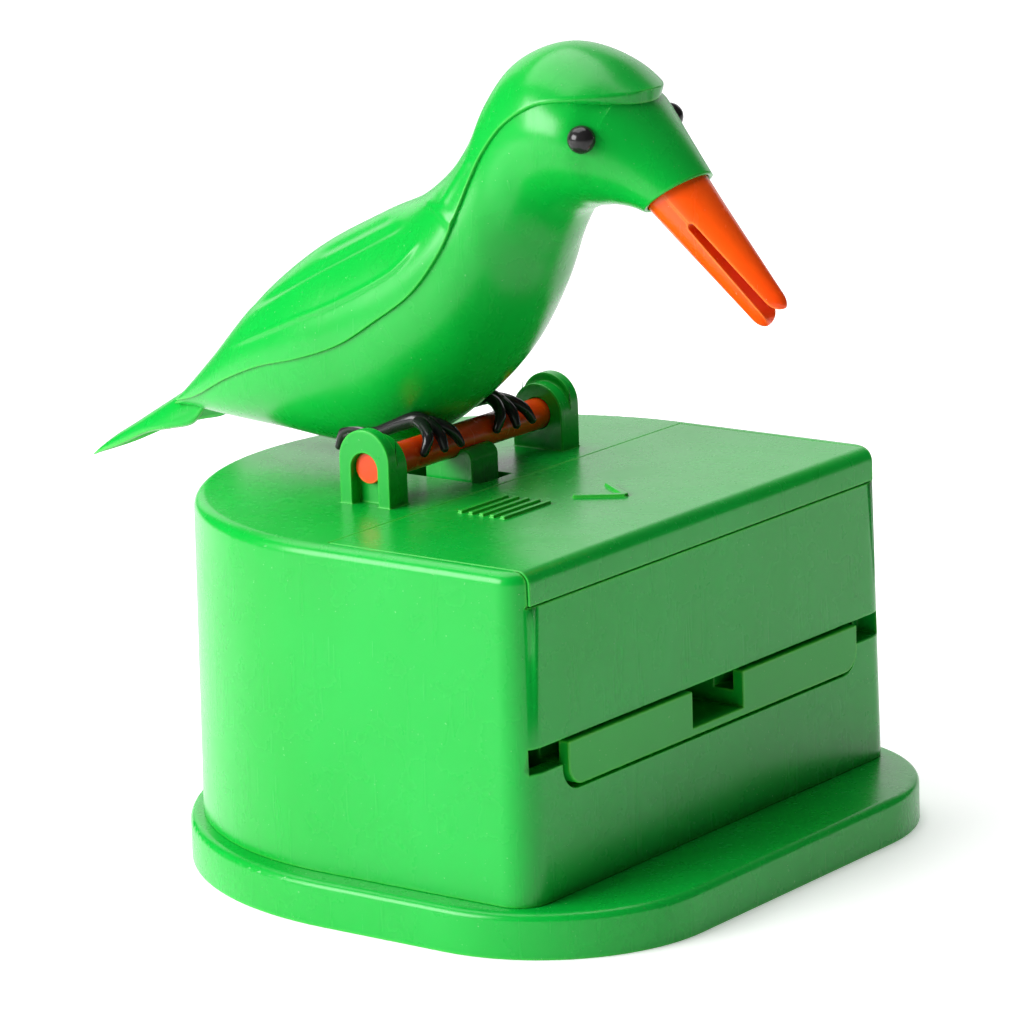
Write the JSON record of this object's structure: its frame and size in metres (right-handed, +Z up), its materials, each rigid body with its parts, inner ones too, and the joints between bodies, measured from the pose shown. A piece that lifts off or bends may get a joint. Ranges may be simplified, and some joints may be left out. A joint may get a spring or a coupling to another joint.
{
  "type": "toothpick dispenser",
  "caption": "Press-down bird toothpick dispenser: a nodding bird on a perch bar reaches to a tray that slides out of a D-shaped box.",
  "frame": {"origin": "centre of the base plate's underside", "axes": "+X forward, the way the bird and the slotted wall face; +Y to the bird's left; +Z up"},
  "size_m": [0.1044, 0.08, 0.0954],
  "materials": {
    "green_plastic": "bright green injection-moulded plastic, satin gloss",
    "inner_plastic": "green injection-moulded plastic, plain inner finish",
    "orange_plastic": "orange injection-moulded plastic, satin gloss",
    "black_plastic": "black injection-moulded plastic, glossy",
    "steel": "zinc-plated steel wire, pins and screws"
  },
  "bodies": {
    "box": {"base_plate": "green_plastic", "box_housing": "green_plastic", "front_lid": "green_plastic", "toothpick_hopper": "inner_plastic", "rocker_pin": "steel", "return_spring": "steel", "base_screws": "steel"},
    "bird": {"perch_bar": "orange_plastic", "crank_arm": "green_plastic", "crank_pin": "steel", "crank_screw": "steel", "bird_breast_shell": "green_plastic", "bird_back_shell": "green_plastic", "beak": "orange_plastic", "eye_left": "black_plastic", "eye_right": "black_plastic", "foot_left": "black_plastic", "foot_right": "black_plastic"},
    "rocker": {"rocker_lever": "inner_plastic", "tray_pin": "steel"},
    "tray": {"toothpick_tray": "green_plastic"}
  },
  "joints": [
    {"name": "bird_pitch", "type": "hinge", "parent": "box", "child": "bird", "pos_m": [-0.0074, 0, 0.0475], "axis": [0, 1, 0], "range_deg": [0, 57], "stiffness_Nm_per_rad": 0.006, "springref_deg": -51.57},
    {"name": "rocker_pitch", "type": "hinge", "parent": "box", "child": "rocker", "pos_m": [-0.0074, 0, 0.027], "axis": [0, -1, 0], "range_deg": [0, 68.5]},
    {"name": "tray_slide", "type": "slide", "parent": "box", "child": "tray", "axis": [1, 0, 0], "range_m": [0, 0.0081], "deforming": ["return_spring"]}
  ],
  "couplings": [
    {"joint": "rocker_pitch", "follows": "bird_pitch", "ratio": 1.193},
    {"joint": "tray_slide", "follows": "bird_pitch", "m_per_rad": 0.0080415}
  ]
}
